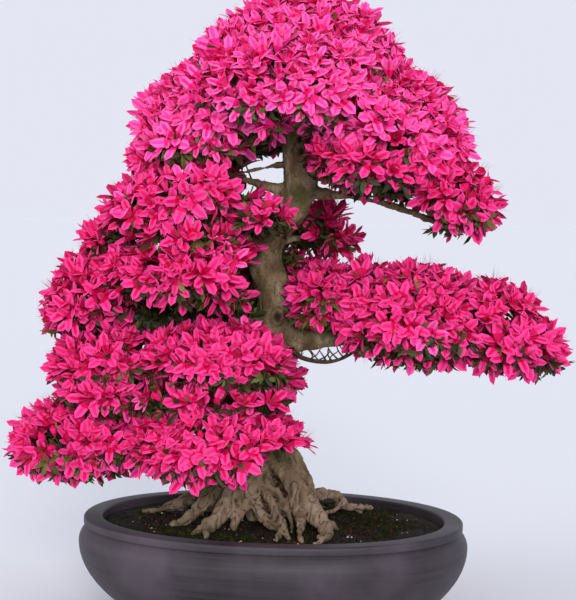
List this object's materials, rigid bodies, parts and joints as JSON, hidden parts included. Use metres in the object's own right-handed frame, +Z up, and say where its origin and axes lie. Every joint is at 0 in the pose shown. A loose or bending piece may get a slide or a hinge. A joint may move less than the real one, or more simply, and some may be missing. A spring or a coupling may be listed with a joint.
{
  "type": "potted azalea bonsai tree",
  "caption": "Informal upright azalea bonsai in full pink bloom, with a flared trunk and tiered pads, in an oval unglazed clay pot.",
  "frame": {"origin": "middle of the pot's flat underside", "axes": "+Z up along the trunk, +X along the pot's long axis towards the longest pad, -Y towards the tree's front"},
  "size_m": [0.7811, 0.424, 0.8849],
  "materials": {
    "clay": "matte",
    "soil": "matte",
    "bark": "matte",
    "blossom": "matte"
  },
  "bodies": {
    "root": {"pot": "clay", "soil": "soil", "trunk": "bark", "bough_right_low": "bark", "bough_right_high": "bark", "bough_left_high": "bark", "bough_left_thin": "bark", "bough_left_middle": "bark", "bough_left_shelf": "bark", "bough_left_low": "bark", "bough_back_low": "bark", "bough_back_middle": "bark", "bough_back_right": "bark", "bough_front": "bark", "foliage_crown_top": "blossom", "foliage_crown_left": "blossom", "foliage_crown_right": "blossom", "foliage_crown_front": "blossom", "foliage_crown_back": "blossom", "foliage_crown_low": "blossom", "foliage_right_shoulder": "blossom", "foliage_left_high": "blossom", "foliage_left_high_back": "blossom", "foliage_left_middle": "blossom", "foliage_left_middle_tip": "blossom", "foliage_front": "blossom", "foliage_back_right": "blossom", "foliage_right_near": "blossom", "foliage_right_middle": "blossom", "foliage_right_tip": "blossom", "foliage_left_shelf": "blossom", "foliage_left_shelf_tip": "blossom", "foliage_left_low": "blossom", "foliage_left_low_tip": "blossom", "foliage_back_low": "blossom", "foliage_back_middle": "blossom"}
  },
  "joints": []
}
